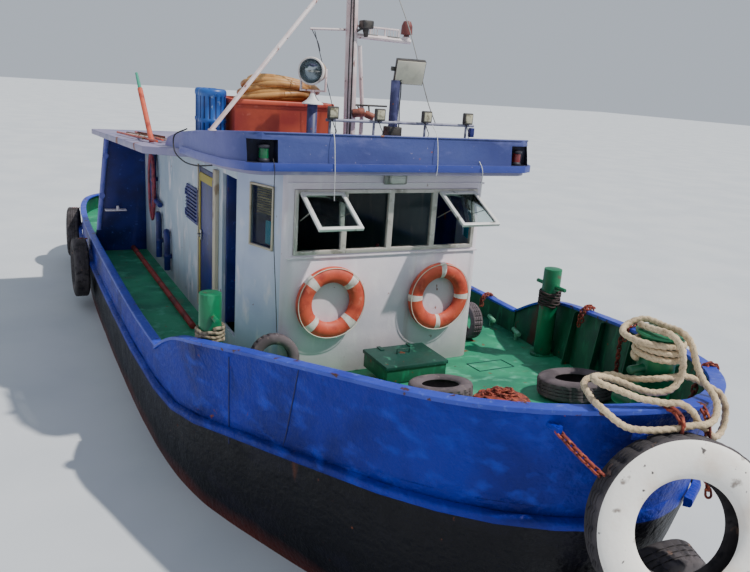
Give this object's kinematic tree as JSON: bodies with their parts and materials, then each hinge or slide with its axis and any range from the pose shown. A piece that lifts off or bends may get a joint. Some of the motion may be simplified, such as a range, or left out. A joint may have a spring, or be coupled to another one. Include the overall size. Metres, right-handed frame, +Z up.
{
  "type": "tugboat",
  "caption": "Small steel harbour tugboat with a blunt raised bow, wheelhouse aft of the foredeck, tyre fenders, mast, roof lights, rudder and propeller.",
  "frame": {"origin": "on the waterline, on the centreline, amidships", "axes": "+X towards the bow, +Y to port, +Z up"},
  "size_m": [14.0155, 5.0099, 7.4219],
  "materials": {
    "hull_paint": "semi-gloss, brushed on",
    "rail_paint": "semi-gloss, worn",
    "antifouling": "matte",
    "deck_paint": "matte, worn",
    "bulwark_paint": "semi-gloss",
    "house_paint": "semi-gloss",
    "visor_paint": "semi-gloss",
    "door_paint": "semi-gloss",
    "mast_paint": "semi-gloss, rust streaked",
    "lamp_housing": "satin",
    "side_light_green": "gloss",
    "side_light_red": "gloss",
    "rusted_steel": "rusted",
    "frame_aluminium": "dull",
    "window_glass": "clear",
    "tyre_black": "weathered",
    "tyre_white": "white painted, worn",
    "ring_plastic": "faded",
    "tub_plastic": "faded",
    "drum_plastic": "satin",
    "rope_fibre": "laid rope",
    "bronze": "dull",
    "console_wood": "varnished"
  },
  "bodies": {
    "boat": {"hull": "hull_paint", "deck_plate": "deck_paint", "foredeck_plate": "deck_paint", "keel_skeg": "antifouling", "bow_bulwark": "hull_paint", "bow_cap_rail": "rail_paint", "aft_bulwark": "hull_paint", "aft_cap_rail": "rail_paint", "house_front": "house_paint", "house_side_stbd": "house_paint", "house_side_port": "house_paint", "house_aft": "house_paint", "roof_slab": "visor_paint", "visor": "visor_paint", "side_light_stbd": "side_light_green", "side_light_port": "side_light_red", "window_frame": "frame_aluminium", "window_glass": "window_glass", "sash_stbd": "frame_aluminium", "sash_port": "frame_aluminium", "corner_window_stbd": "window_glass", "corner_window_port": "window_glass", "wing_plate_stbd": "door_paint", "wing_plate_port": "door_paint", "life_ring_stbd": "ring_plastic", "life_ring_port": "ring_plastic", "fore_hatch_coaming": "bulwark_paint", "mooring_post_stbd": "bulwark_paint", "mooring_post_port": "bulwark_paint", "bow_bitt": "bulwark_paint", "towing_bitt": "bulwark_paint", "aft_hatch_coaming": "bulwark_paint", "mast": "mast_paint", "mast_stay": "mast_paint", "searchlight_post": "door_paint", "flood_lights": "lamp_housing", "fish_tub": "tub_plastic", "drums": "drum_plastic", "exhaust_pipe": "rusted_steel", "helm_console": "console_wood", "fender_row_port": "tyre_black", "fender_row_stbd": "tyre_black", "stem_fender": "tyre_white", "deck_tyre": "tyre_black", "tyre_and_chain_heap": "tyre_black", "shoulder_tyre": "tyre_black", "port_side_tyre": "tyre_black", "rope_turns": "rope_fibre", "mooring_rope": "rope_fibre"},
    "propeller": {"propeller": "bronze"},
    "rudder": {"rudder": "antifouling"},
    "helm_wheel": {"helm_wheel": "console_wood"},
    "door_fore_stbd": {"door_fore_stbd": "door_paint"},
    "door_aft_stbd": {"door_aft_stbd": "door_paint"},
    "door_port": {"door_port": "door_paint"},
    "door_aft": {"door_aft": "door_paint"},
    "fore_hatch_lid": {"fore_hatch_lid": "bulwark_paint"},
    "aft_hatch_lid": {"aft_hatch_lid": "bulwark_paint"},
    "searchlight_yoke": {"searchlight_yoke": "lamp_housing"},
    "searchlight": {"searchlight": "lamp_housing"}
  },
  "joints": [
    {"name": "propeller_shaft", "type": "hinge", "parent": "boat", "child": "propeller", "pos_m": [-5.2, 0, -0.9], "axis": [1, 0, 0], "continuous": true},
    {"name": "rudder_stock", "type": "hinge", "parent": "boat", "child": "rudder", "pos_m": [-5.8, 0, -0.9], "axis": [0, 0, 1], "range_deg": [-35, 35]},
    {"name": "helm_spindle", "type": "hinge", "parent": "boat", "child": "helm_wheel", "pos_m": [2.34, 0, 1.78], "axis": [1, 0, 0], "range_deg": [-525, 525]},
    {"name": "door_fore_stbd_hinge", "type": "hinge", "parent": "boat", "child": "door_fore_stbd", "pos_m": [1.647, -1.311, 1.9], "axis": [0, 0, 1], "range_deg": [-90, 15]},
    {"name": "door_aft_stbd_hinge", "type": "hinge", "parent": "boat", "child": "door_aft_stbd", "pos_m": [1.337, -1.352, 1.9], "axis": [0, 0, 1], "range_deg": [0, 100]},
    {"name": "door_port_hinge", "type": "hinge", "parent": "boat", "child": "door_port", "pos_m": [1.643, 1.352, 1.9], "axis": [0, 0, 1], "range_deg": [0, 100]},
    {"name": "door_aft_hinge", "type": "hinge", "parent": "boat", "child": "door_aft", "pos_m": [-2.902, -0.897, 1.9], "axis": [0, 0, 1], "range_deg": [0, 100]},
    {"name": "fore_hatch_hinge", "type": "hinge", "parent": "boat", "child": "fore_hatch_lid", "pos_m": [3.045, 0.065, 1.151], "axis": [0, -1, 0], "range_deg": [0, 80]},
    {"name": "aft_hatch_hinge", "type": "hinge", "parent": "boat", "child": "aft_hatch_lid", "pos_m": [-5.485, 0, 1.081], "axis": [0, 1, 0], "range_deg": [0, 100]},
    {"name": "searchlight_pan", "type": "hinge", "parent": "boat", "child": "searchlight_yoke", "pos_m": [2.4, -0.68, 3.656], "axis": [0, 0, 1], "range_deg": [-150, 150]},
    {"name": "searchlight_tilt", "type": "hinge", "parent": "searchlight_yoke", "child": "searchlight", "pos_m": [2.4, -0.68, 3.86], "axis": [-0.6428, -0.766, 0], "range_deg": [-30, 45]}
  ],
  "couplings": [
    {"joint": "helm_spindle", "follows": "rudder_stock", "ratio": 15}
  ]
}
